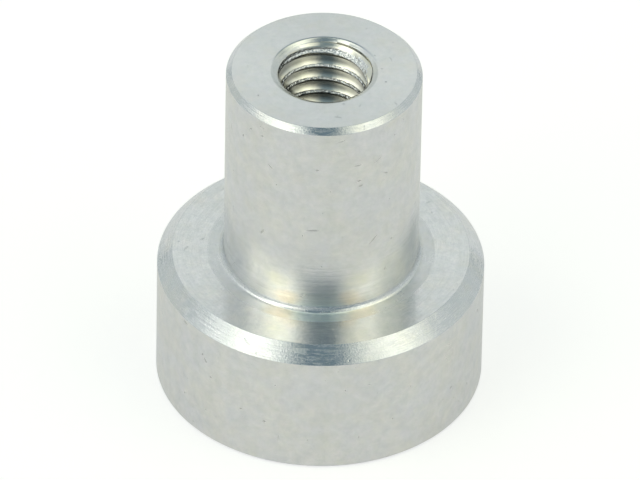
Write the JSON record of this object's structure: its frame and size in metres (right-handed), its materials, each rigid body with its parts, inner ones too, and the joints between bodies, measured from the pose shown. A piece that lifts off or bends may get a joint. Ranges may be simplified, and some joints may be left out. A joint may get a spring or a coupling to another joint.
{
  "type": "pot magnet",
  "caption": "Round pot magnet in a turned steel pot, with a slender cylindrical neck that has a blind tapped hole.",
  "frame": {"origin": "centre of the round holding face at the bottom of the pot", "axes": "+Z along the turning axis, from the holding face up through the neck and out of the tapped hole"},
  "size_m": [0.01, 0.01, 0.0115],
  "materials": {
    "zinc_plated_steel": "turned steel with clear passivated zinc plating",
    "nickel_plated_magnet": "satin nickel plating",
    "potting_resin": "hard black resin"
  },
  "bodies": {
    "root": {"pot_housing": "zinc_plated_steel", "magnet_disc": "nickel_plated_magnet", "resin_ring": "potting_resin"}
  },
  "joints": []
}
